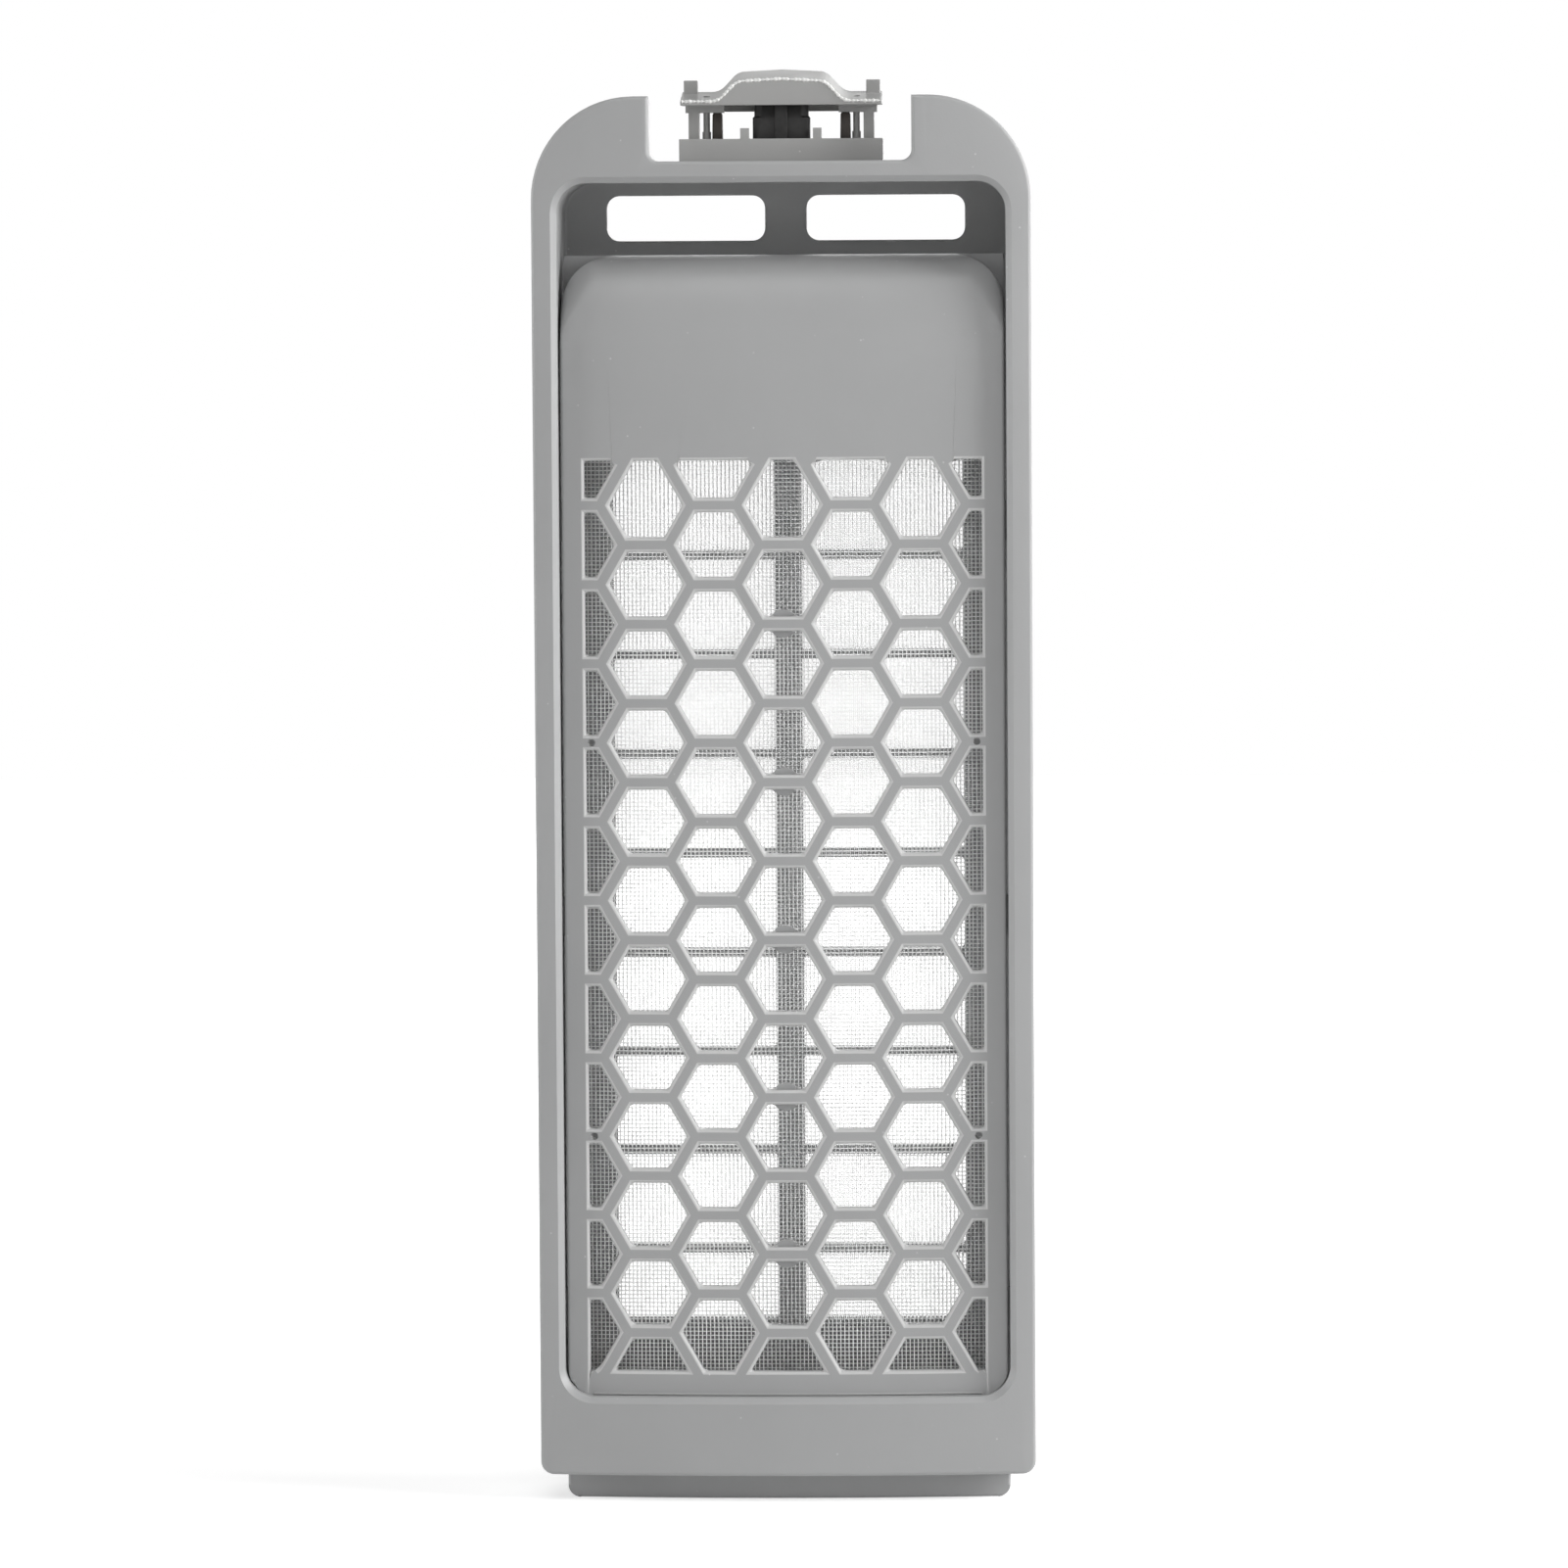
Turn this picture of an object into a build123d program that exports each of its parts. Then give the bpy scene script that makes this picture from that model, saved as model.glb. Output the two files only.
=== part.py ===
from build123d import *
from math import cos, radians, sin, sqrt
import os

os.makedirs("parts", exist_ok=True)

# The box stands on its foot with its front towards -Y. Heights are above the sole of the foot.

# Front plate
frame_width = 75.4
frame_low = 4.1
frame_high = 213.4
hem_radius = 2.0
crown_radius = 300.0  # the front bulges in a shallow arch across its width
front_y = -15.0  # crest of that arch
plate_depth = 6.0
front_round = 0.6

# Mouth of the frame and the skirt behind the plate
side_bar = 3.8
bottom_bar = 11.9
top_bar = 13.0
mouth_radius = 4.5
mouth_bevel = 0.9
wall = 1.7
parting_y = 0.0
lip_thickness = 0.8
lip_reach = 1.5
lip_rise = 6.0
sill = 1.8
bar_wall = 2.6

# Notch for the latch
notch_gap = 4.4  # on both sides of the latch base
notch_rise = 3.2
notch_radius = 1.6
notch_land = 2.4  # straight top edge beside the notch

# Floor, foot and hinge
floor_thickness = 2.4
floor_reach = 1.5  # behind the hinge
foot_side = 3.9
foot_front_setback = 5.0  # behind the crest of the front
foot_back_setback = 1.0
foot_wall = 2.2
foot_corner = 1.9
foot_bays = 3
hinge_depth = 9.2
hinge_rise = 5.7
pin_radius = 1.6
pin_clearance = 0.05
ear_radius = 3.8
ear_thickness = 2.7
ear_clearance = 0.3

# Grille panel
panel_recess = 2.75  # from the front of the frame to the panel
panel_gap = 0.35
panel_thickness = 2.2
panel_rim = 1.6
rim_depth = 7.2  # of the side rims, from the crest of the panel
lip_back = 0.4
panel_edge = 0.5
inlet_height = 11.0
roll_height = 13.0
roll_depth = 8.2
roll_corner = 7.5
roll_share = 0.9  # most of the depth that a rounded corner may take
cheek_radius = 8.0
cheek_plate = 1.4
roll_turns = (0, 30, 60, 90)
pip_length = 6.0
pip_width = 2.0
pip_end = 9.4  # from the ends of the window to the last pips

# Honeycomb window
window_side = 3.37
window_rise = 3.7
brow = 17.0  # least height of the plain part above the window
rib = 2.1
outer_column = 3
top_cut = 0.8  # the upper edge lies this far above the middle of the last side cells
side_cut = 1.0  # the side edges lie this far inside the middle of the outer cells
cell_draft = 1.0  # degrees
pad_radius = 2.15
pad_thickness = 1.0
pad_inset = 0.15  # from the back of the ribs
pinhole_radius = 0.55
pinhole_inset = 0.95
pinhole_rows = (3, 8)

# Nets
net_thickness = 0.4
net_margin = 1.2
net_bar = 0.9
front_net_columns = 4
front_net_rows = 9
rear_net_columns = 4
rear_net_rows = 10

# Rear case
case_depth = 13.2
case_gap = 0.3  # parting line
case_wall = 1.6
case_floor = 1.8
case_rise = 3.2
case_bevel = 2.0
neck_gap = 1.0
vent_rise = 8.0
vent_side = 7.0
vent_spine = 4.2
vent_bar = 1.5
vent_bars = 10
vent_end = 0.7  # pitch from the last bar to the edge of the windows
slot_drop = 8.9
slot_height = 6.9
slot_side = 6.4
slot_land = 6.9
slot_radius = 1.9
slot_spine = 6.4
tongue_width = 8.0
tongue_drop = 28.0
tongue_thickness = 1.2
tongue_reach = 6.0
tongue_root = 3.0
tongue_gap = 0.15

# Latch
base_width = 30.8
latch_gap = 0.1
latch_setback = 0.8
spigot_radius = 1.3
spigot_clearance = 0.1
spigot_spacing = 16.0
travel = 2.5
toe_height = 0.65
toe_reach = 0.6
toe_room = 0.8
pocket_clearance = 0.3
pocket_lip = 0.9
leg_edge = 1.35
leg_width = 1.6
leg_depth = 3.0
guide_pin_space = 1.1
guide_pin_radius = 0.5
guide_foot_radius = 0.65
guide_foot_height = 1.1
guide_pin_height = 4.6
guide_clearance = 0.08
button_inset = 0.2
button_lift = 5.05
wing_thickness = 2.15
arch_rise = 3.0
arch_crest = 0.35
arch_overlap = 0.6
arch_lean = 2.8
arch_foot_round = 2.6
arch_head_round = 2.6
button_slope = 1.55  # the rear edge of the button stands this much higher than the front edge
button_wall = 1.3
boss_height = 1.1
boss_lap = 0.2
boss_edge = 0.45
rail_drop = 0.9
lug_width = 2.1
lug_depth = 2.0
lug_height = 1.7
lug_inset = 0.3
block_clearance = 1.05
block_depth = 4.0
block_rib = 2.0
block_rib_proud = 0.4
post_space = 0.85
post_width = 1.6
spring_strip = 1.0
spring_clearance = 0.15
prong_width = 1.3
prong_height = 1.6
prong_gap = 0.5

# Values that follow
root_three = sqrt(3)
plate_back = front_y + plate_depth
crown_axis = front_y + crown_radius
frame_height = frame_high - frame_low
frame_middle = (frame_low + frame_high) / 2
notch_width = base_width + 2 * notch_gap
shoulder_radius = (frame_width - notch_width) / 2 - notch_land
mouth_width = frame_width - 2 * side_bar
mouth_low = frame_low + bottom_bar
mouth_high = frame_high - top_bar
mouth_height = mouth_high - mouth_low
mouth_middle = (mouth_low + mouth_high) / 2
notch_low = mouth_high + notch_rise
skirt_width = mouth_width + 2 * wall
skirt_high = mouth_high + wall
skirt_height = skirt_high - frame_low
skirt_middle = (skirt_high + frame_low) / 2
lip_start = mouth_low + lip_rise
case_front = parting_y + case_gap
hinge_y = case_front + hinge_depth
floor_high = frame_low + floor_thickness
floor_back = hinge_y + floor_reach
foot_width = frame_width - 2 * foot_side
foot_back = floor_back - foot_back_setback
foot_radius = crown_radius - foot_front_setback
hinge_z = floor_high + hinge_rise
ear_outer = skirt_width / 2
ear_inner = ear_outer - ear_thickness
neck_width = 2 * (ear_inner - ear_clearance)
neck_high = hinge_z + ear_radius + neck_gap

panel_radius = crown_radius - panel_recess
panel_width = mouth_width - 2 * panel_gap
panel_face = front_y + panel_recess
panel_back = panel_face + rim_depth
pip_y = panel_back - pip_width
lip_high = mouth_high - inlet_height
roll_low = lip_high - roll_height
cheek_y = lip_back - cheek_plate
net_radius = panel_radius - panel_thickness
hollow_width = panel_width - 2 * panel_rim

window_low = mouth_low + window_rise
window_width = panel_width - 2 * window_side
column_step = (window_width / 2 + side_cut) / outer_column
cell_pitch = 2 * column_step / root_three
cell_radius = (cell_pitch - rib) / root_three
cell_rows = int((roll_low - brow - window_low - top_cut) / cell_pitch - 0.5)
window_high = window_low + cell_pitch * (cell_rows + 0.5) + top_cut
window_height = window_high - window_low
window_middle = (window_high + window_low) / 2
columns = range(-outer_column, outer_column + 1)
pad_count = cell_rows // 2
pip_step = window_height / 2 - pip_end

front_net_step = window_width / front_net_columns
front_net_rise = window_height / front_net_rows

case_back = case_front + case_depth
case_inside = case_back - case_floor
case_low = floor_high + case_rise
case_high = skirt_high
rim_wall = wall - lip_thickness - case_gap
slot_low = mouth_high - slot_drop
slot_middle = slot_low + slot_height / 2
slot_width = (mouth_width - slot_spine) / 2 - slot_side
vent_width = mouth_width - 2 * vent_side
vent_low = neck_high + vent_rise
vent_high = slot_low - slot_land
vent_height = vent_high - vent_low
vent_middle = (vent_high + vent_low) / 2
vent_pitch = vent_height / (vent_bars - 1 + 2 * vent_end)
rear_net_step = vent_width / rear_net_columns
rear_net_rise = vent_height / rear_net_rows
tongue_low = mouth_high - tongue_drop

latch_front = plate_back + latch_gap
latch_back = parting_y - latch_setback
latch_depth = latch_back - latch_front
latch_y = (latch_back + latch_front) / 2
base_low = skirt_high
base_high = base_low + toe_room + travel + toe_height + pocket_lip
toe_high = base_high - pocket_lip
toe_low = toe_high - toe_height
leg_inner = base_width / 2 - leg_edge - leg_width
leg_x = leg_inner + leg_width / 2
guide_pin_x = leg_inner - guide_pin_space
post_inner = guide_pin_x - post_space - post_width
post_x = post_inner + post_width / 2
boss_inner = post_inner - boss_lap
boss_outer = leg_inner + leg_width + boss_edge
button_width = base_width - 2 * button_inset
button_front = latch_front + button_inset
button_back = latch_back
button_depth = button_back - button_front
wing_low = base_high + button_lift
wing_high = wing_low + wing_thickness
arch_high = wing_high + arch_rise
arch_foot = post_inner + arch_overlap
arch_head = arch_foot - arch_lean
boss_low = wing_low - boss_height
cap_ceiling = arch_high - button_slope - button_wall
block_width = 2 * (arch_head - button_wall - block_clearance)
block_low = base_high - spring_strip
spring_length = 2 * (post_inner + post_width)
prong_x = block_width / 2 + prong_gap + prong_width / 2


def draw_cells(column):
    """Draw one column of cells about x = 0, cut off at the edges of the window."""
    odd = column % 2
    first = window_low + odd * cell_pitch / 2
    last = first + cell_rows * cell_pitch
    open_end, edge = (first, window_low) if odd else (last, window_high)
    half = cell_radius - abs(edge - open_end) / root_three
    with Locations((0, first)):
        with GridLocations(1, cell_pitch, 1, cell_rows + 1, align=(Align.CENTER, Align.MIN)):
            RegularPolygon(cell_radius, 6)
    # The slanted sides of the end cell run on to the level edge
    Polygon(
        (-cell_radius, open_end),
        (cell_radius, open_end),
        (half, edge),
        (-half, edge),
        align=None,
    )
    with Locations((-column * column_step, window_middle)):
        Rectangle(window_width, window_height, mode=Mode.INTERSECT)


# Front frame: crowned plate, skirt, floor, hinge ears and foot in one moulding
with BuildPart() as front_frame:
    with BuildSketch(Plane.XZ.offset(-plate_back)) as plate:
        with Locations((0, frame_middle)):
            Rectangle(frame_width, frame_height)
        fillet(plate.vertices().group_by(Axis.Y)[-1], shoulder_radius)
        fillet(plate.vertices().group_by(Axis.Y)[0], hem_radius)
    extrude(amount=plate_back - front_y + 1)
    with BuildSketch(Plane.XY.offset(frame_low)):
        with Locations((0, crown_axis)):
            Circle(crown_radius)
    extrude(amount=frame_height, mode=Mode.INTERSECT)
    # Skirt, from the back of the plate to the parting line
    with BuildSketch(Plane.XZ.offset(-parting_y)) as skirt:
        with Locations((0, skirt_middle)):
            Rectangle(skirt_width, skirt_height)
        fillet(skirt.vertices().group_by(Axis.Y)[-1], mouth_radius + wall)
    extrude(amount=parting_y - plate_back)
    # Mouth through plate and skirt
    with BuildSketch(Plane.XZ.offset(-parting_y)) as mouth:
        with Locations((0, mouth_middle)):
            RectangleRounded(mouth_width, mouth_height, mouth_radius)
    extrude(amount=parting_y - front_y + 1, mode=Mode.SUBTRACT)
    # Hollow behind the lower bar, between floor and sill
    with BuildSketch(Plane.XY.offset(floor_high)):
        with Locations((0, crown_axis)):
            Circle(crown_radius - bar_wall)
        with Locations((0, parting_y)):
            Rectangle(mouth_width, 2 * crown_radius, align=(Align.CENTER, Align.MAX), mode=Mode.INTERSECT)
    extrude(amount=mouth_low - sill - floor_high, mode=Mode.SUBTRACT)
    # Lip that the rear case closes over, along the sides and the top
    with BuildSketch(Plane.XZ.offset(-parting_y)) as lip:
        with Locations((0, mouth_middle)):
            RectangleRounded(
                mouth_width + 2 * lip_thickness,
                mouth_height + 2 * lip_thickness,
                mouth_radius + lip_thickness,
            )
            RectangleRounded(mouth_width, mouth_height, mouth_radius, mode=Mode.SUBTRACT)
        with Locations((0, lip_start)):
            Rectangle(frame_width, frame_height, align=(Align.CENTER, Align.MIN), mode=Mode.INTERSECT)
    extrude(amount=-lip_reach)
    # Floor behind the skirt
    with BuildSketch(Plane.XY.offset(frame_low)):
        with Locations((0, plate_back)):
            Rectangle(skirt_width, floor_back - plate_back, align=(Align.CENTER, Align.MIN))
    extrude(amount=floor_thickness)
    # Hinge ears
    with BuildSketch(Plane.YZ.offset(ear_inner)):
        with Locations((parting_y, floor_high)):
            Rectangle(
                hinge_y - parting_y,
                hinge_z + ear_radius - floor_high,
                align=(Align.MIN, Align.MIN),
            )
        with Locations((hinge_y, hinge_z)):
            Circle(ear_radius)
            Circle(pin_radius + pin_clearance, mode=Mode.SUBTRACT)
    ear = extrude(amount=ear_thickness)
    mirror(ear, about=Plane.YZ)
    # Foot tongue with a crowned front, cored from below
    with BuildSketch() as sole:
        with Locations((0, crown_axis)):
            Circle(foot_radius)
        with Locations((0, foot_back)):
            Rectangle(foot_width, 2 * crown_radius, align=(Align.CENTER, Align.MAX), mode=Mode.INTERSECT)
    extrude(amount=frame_low)
    foot_sides = front_frame.edges().filter_by(Axis.Y).group_by(Axis.Z)[0]
    fillet(foot_sides, foot_corner)
    bay_step = (foot_width - 2 * foot_corner - foot_wall) / foot_bays
    with BuildSketch():
        with GridLocations(bay_step, 1, foot_bays, 1):
            for side in (Align.MIN, Align.MAX):
                with Locations((0, foot_wall / 2 if side == Align.MIN else -foot_wall / 2)):
                    Rectangle(
                        bay_step - foot_wall,
                        foot_back - 1.5 * foot_wall,
                        align=(Align.CENTER, side),
                    )
        with Locations((0, crown_axis)):
            Circle(foot_radius - foot_wall, mode=Mode.INTERSECT)
    extrude(amount=frame_low - foot_wall / 2, mode=Mode.SUBTRACT)
    # Notch for the latch
    with BuildSketch(Plane.XZ.offset(-plate_back)) as notch:
        with Locations((0, notch_low)):
            Rectangle(notch_width, frame_high, align=(Align.CENTER, Align.MIN))
        fillet(notch.vertices().group_by(Axis.Y)[0], notch_radius)
    extrude(amount=plate_back - front_y + 1, mode=Mode.SUBTRACT)
    # Seats for the spigots of the latch base
    with BuildSketch(Plane.XY.offset(mouth_high)):
        with Locations((-spigot_spacing / 2, latch_y), (spigot_spacing / 2, latch_y)):
            Circle(spigot_radius + spigot_clearance)
    extrude(amount=wall, mode=Mode.SUBTRACT)
    # Bevelled mouth and rounded outer edge
    crown_face = front_frame.faces().filter_by(GeomType.CYLINDER).sort_by(SortBy.AREA)[-1]
    chamfer(crown_face.inner_wires()[0].edges(), mouth_bevel)
    crown_face = front_frame.faces().filter_by(GeomType.CYLINDER).sort_by(SortBy.AREA)[-1]
    fillet(crown_face.outer_wire().edges(), front_round)
front_frame.part.label = "front_frame"
export_step(front_frame.part, "parts/front_frame.step")

# Grille panel: a crowned tray with a rim, rolled back at the top to a lip
with BuildPart() as grille_panel:
    with BuildSketch(Plane.XY.offset(mouth_low)) as plan:
        with Locations((0, crown_axis)):
            Circle(panel_radius)
        with Locations((0, panel_back)):
            Rectangle(panel_width, 2 * crown_radius, align=(Align.CENTER, Align.MAX), mode=Mode.INTERSECT)
        fillet(plan.vertices().group_by(Axis.Y)[0], panel_edge)
    extrude(amount=roll_low - mouth_low)
    for turn in roll_turns:
        with BuildSketch(Plane.XY.offset(roll_low + roll_height * sin(radians(turn)))) as section:
            with Locations((0, crown_axis + roll_depth * (1 - cos(radians(turn))))):
                Circle(panel_radius)
            with Locations((0, lip_back)):
                Rectangle(
                    panel_width,
                    2 * crown_radius,
                    align=(Align.CENTER, Align.MAX),
                    mode=Mode.INTERSECT,
                )
            side = lip_back - section.vertices().group_by(Axis.Y)[0][0].Y
            corner = panel_edge + (roll_corner - panel_edge) * sin(radians(turn))
            fillet(section.vertices().group_by(Axis.Y)[0], min(corner, roll_share * side))
    loft()
    with BuildSketch(Plane.XZ.offset(-parting_y - lip_reach)) as panel_outline:
        with Locations((0, mouth_low)):
            Rectangle(panel_width, lip_high - mouth_low, align=(Align.CENTER, Align.MIN))
        fillet(panel_outline.vertices().group_by(Axis.Y)[0], mouth_radius - panel_gap)
    extrude(amount=parting_y + lip_reach - front_y, mode=Mode.INTERSECT)
    # Rounded upper corners, with the plate of the lip running on behind them
    with BuildSketch(Plane.XZ.offset(-cheek_y)):
        with Locations((0, lip_high)):
            Rectangle(panel_width, 2 * cheek_radius, align=(Align.CENTER, Align.MAX))
            RectangleRounded(
                panel_width,
                4 * cheek_radius,
                cheek_radius,
                align=(Align.CENTER, Align.MAX),
                mode=Mode.SUBTRACT,
            )
    extrude(amount=cheek_y - front_y, mode=Mode.SUBTRACT)
    # Hollow of the tray, open to the back
    with BuildSketch(Plane.XZ.offset(-panel_back)) as hollow:
        with Locations((0, mouth_low + panel_rim)):
            Rectangle(hollow_width, roll_low - mouth_low - panel_rim, align=(Align.CENTER, Align.MIN))
        fillet(hollow.vertices().group_by(Axis.Y)[0], mouth_radius - panel_gap - panel_rim)
    hollow_block = extrude(amount=-front_y, mode=Mode.PRIVATE)
    with BuildSketch(Plane.XY.offset(mouth_low)):
        with Locations((0, crown_axis)):
            Circle(net_radius)
    net_cylinder = extrude(amount=roll_low - mouth_low, mode=Mode.PRIVATE)
    add(hollow_block & net_cylinder, mode=Mode.SUBTRACT)
    for turn in roll_turns:
        inner_rise = (roll_height - panel_rim) * sin(radians(turn))
        with BuildSketch(Plane.XY.offset(roll_low + inner_rise)) as section:
            with Locations((0, crown_axis + roll_depth * (1 - cos(radians(turn))))):
                Circle(net_radius)
            with Locations((0, lip_back + panel_rim)):
                Rectangle(
                    hollow_width,
                    2 * crown_radius,
                    align=(Align.CENTER, Align.MAX),
                    mode=Mode.INTERSECT,
                )
            side = lip_back + panel_rim - section.vertices().group_by(Axis.Y)[0][0].Y
            corner = panel_edge + (roll_corner - panel_rim - panel_edge) * sin(radians(turn))
            chamfer(section.vertices().group_by(Axis.Y)[0], min(corner, roll_share * side))
    inner_roll = loft(mode=Mode.PRIVATE)
    with BuildSketch(Plane.XZ.offset(-lip_back - panel_rim)):
        with Locations((0, lip_high - panel_rim)):
            RectangleRounded(
                hollow_width,
                4 * cheek_radius,
                cheek_radius - panel_rim,
                align=(Align.CENTER, Align.MAX),
            )
    under_roll = extrude(amount=lip_back + panel_rim - front_y, mode=Mode.PRIVATE)
    add(inner_roll & under_roll, mode=Mode.SUBTRACT)
    # Honeycomb window, with the draft of a moulding
    with BuildSketch(Plane.XZ.offset(-front_y)):
        for column in columns:
            with Locations((column * column_step, 0)):
                draw_cells(column)
    extrude(amount=front_y - panel_back, taper=cell_draft, mode=Mode.SUBTRACT)
    # Round pads behind every second rib of the middle column, where the net is moulded in
    with BuildSketch(Plane.XZ.offset(-panel_face - panel_thickness + pad_inset)):
        with Locations((0, window_low + 1.5 * cell_pitch)):
            with GridLocations(1, 2 * cell_pitch, 1, pad_count, align=(Align.CENTER, Align.MIN)):
                Circle(pad_radius)
    extrude(amount=pad_thickness)
    # Pinholes in the short ribs at the sides
    with BuildSketch(Plane.XZ.offset(-front_y)):
        for row in pinhole_rows:
            with Locations((0, window_low + row * cell_pitch)):
                with GridLocations(window_width - 2 * pinhole_inset, 1, 2, 1):
                    Circle(pinhole_radius)
    extrude(amount=front_y - panel_back, mode=Mode.SUBTRACT)
    # Pips on the sides that hold the panel in the skirt
    with BuildSketch(Plane.YZ.offset(panel_width / 2)):
        with Locations((pip_y, window_middle)):
            with GridLocations(1, pip_step, 1, 3):
                Rectangle(pip_width, pip_length)
    pips = extrude(amount=panel_gap)
    mirror(pips, about=Plane.YZ)
grille_panel.part.label = "grille_panel"
export_step(grille_panel.part, "parts/grille_panel.step")

# Front net, against the back of the honeycomb, drawn with wide gaps
with BuildPart() as front_mesh:
    with BuildSketch(Plane.XY.offset(window_low - net_margin)):
        with Locations((0, crown_axis)):
            Circle(net_radius)
            Circle(net_radius - net_thickness, mode=Mode.SUBTRACT)
        with Locations((0, parting_y)):
            Rectangle(
                window_width + 2 * net_margin,
                2 * crown_radius,
                align=(Align.CENTER, Align.MAX),
                mode=Mode.INTERSECT,
            )
    extrude(amount=window_height + 2 * net_margin)
    with BuildSketch(Plane.XZ.offset(-front_y)):
        with Locations((0, window_middle)):
            with GridLocations(front_net_step, front_net_rise, front_net_columns, front_net_rows):
                Rectangle(front_net_step - net_bar, front_net_rise - net_bar)
    extrude(amount=front_y - parting_y, mode=Mode.SUBTRACT)
front_mesh.part.label = "front_mesh"
export_step(front_mesh.part, "parts/front_mesh.step")

# Rear case: tray with ribbed windows, two slots, hinge pins and two snap tongues
with BuildPart() as rear_case:
    with BuildSketch(Plane.XZ.offset(-case_back)) as outline:
        with Locations((0, neck_high)):
            Rectangle(skirt_width, case_high - neck_high, align=(Align.CENTER, Align.MIN))
        with Locations((0, case_low)):
            Rectangle(neck_width, neck_high - case_low, align=(Align.CENTER, Align.MIN))
        fillet(outline.vertices().group_by(Axis.Y)[-1], mouth_radius + wall)
    extrude(amount=case_depth)
    chamfer(rear_case.faces().sort_by(Axis.Y)[-1].edges(), case_bevel)
    with BuildSketch(Plane.XZ.offset(-case_inside)) as chamber:
        with Locations((0, neck_high + case_wall)):
            Rectangle(
                skirt_width - 2 * case_wall,
                case_high - neck_high - 2 * case_wall,
                align=(Align.CENTER, Align.MIN),
            )
        with Locations((0, case_low + case_wall)):
            Rectangle(
                neck_width - 2 * case_wall,
                neck_high - case_low,
                align=(Align.CENTER, Align.MIN),
            )
        fillet(chamber.vertices().group_by(Axis.Y)[-1], mouth_radius + wall - case_wall)
    extrude(amount=case_inside - case_front, mode=Mode.SUBTRACT)
    # Rebate that the lip of the frame enters
    with BuildSketch(Plane.XZ.offset(-case_front)) as rebate:
        with Locations((0, mouth_middle)):
            RectangleRounded(
                mouth_width + 2 * lip_thickness + 2 * case_gap,
                mouth_height + 2 * lip_thickness + 2 * case_gap,
                mouth_radius + lip_thickness + case_gap,
            )
        with Locations((0, lip_start - case_gap)):
            Rectangle(frame_width, frame_height, align=(Align.CENTER, Align.MIN), mode=Mode.INTERSECT)
    extrude(amount=-lip_reach, mode=Mode.SUBTRACT)
    # Windows on both sides of a spine, with level bars
    with BuildSketch(Plane.XZ.offset(-case_back)):
        with Locations((0, vent_middle)):
            Rectangle(vent_width, vent_height)
            Rectangle(vent_spine, vent_height, mode=Mode.SUBTRACT)
            with GridLocations(1, vent_pitch, 1, vent_bars):
                Rectangle(frame_width, vent_bar, mode=Mode.SUBTRACT)
    extrude(amount=case_floor, mode=Mode.SUBTRACT)
    with BuildSketch(Plane.XZ.offset(-case_back)):
        with Locations((0, slot_middle)):
            with GridLocations(slot_width + slot_spine, 1, 2, 1):
                RectangleRounded(slot_width, slot_height, slot_radius)
    extrude(amount=case_floor, mode=Mode.SUBTRACT)
    # Hinge pins
    with BuildSketch(Plane.YZ.offset(neck_width / 2)):
        with Locations((hinge_y, hinge_z)):
            Circle(pin_radius)
    hinge_pin = extrude(amount=ear_thickness)
    mirror(hinge_pin, about=Plane.YZ)
    # Snap tongues along the sides of the skirt
    with BuildSketch(Plane.XY.offset(tongue_low)):
        with Locations((skirt_width / 2 + tongue_gap, parting_y - tongue_reach)):
            Rectangle(
                tongue_thickness,
                tongue_reach + case_gap + tongue_root,
                align=(Align.MIN, Align.MIN),
            )
        with Locations((skirt_width / 2 - rim_wall, case_front)):
            Rectangle(rim_wall + tongue_gap, tongue_root, align=(Align.MIN, Align.MIN))
    tongue = extrude(amount=tongue_width)
    mirror(tongue, about=Plane.YZ)
rear_case.part.label = "rear_case"
export_step(rear_case.part, "parts/rear_case.step")

# Rear net, against the inside of the windows, drawn with wide gaps
with BuildPart() as rear_mesh:
    with BuildSketch(Plane.XZ.offset(-case_inside)):
        with Locations((0, vent_middle)):
            Rectangle(vent_width + 2 * net_margin, vent_height + 2 * net_margin)
            with GridLocations(rear_net_step, rear_net_rise, rear_net_columns, rear_net_rows):
                Rectangle(rear_net_step - net_bar, rear_net_rise - net_bar, mode=Mode.SUBTRACT)
    extrude(amount=net_thickness)
rear_mesh.part.label = "rear_mesh"
export_step(rear_mesh.part, "parts/rear_mesh.step")

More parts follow.
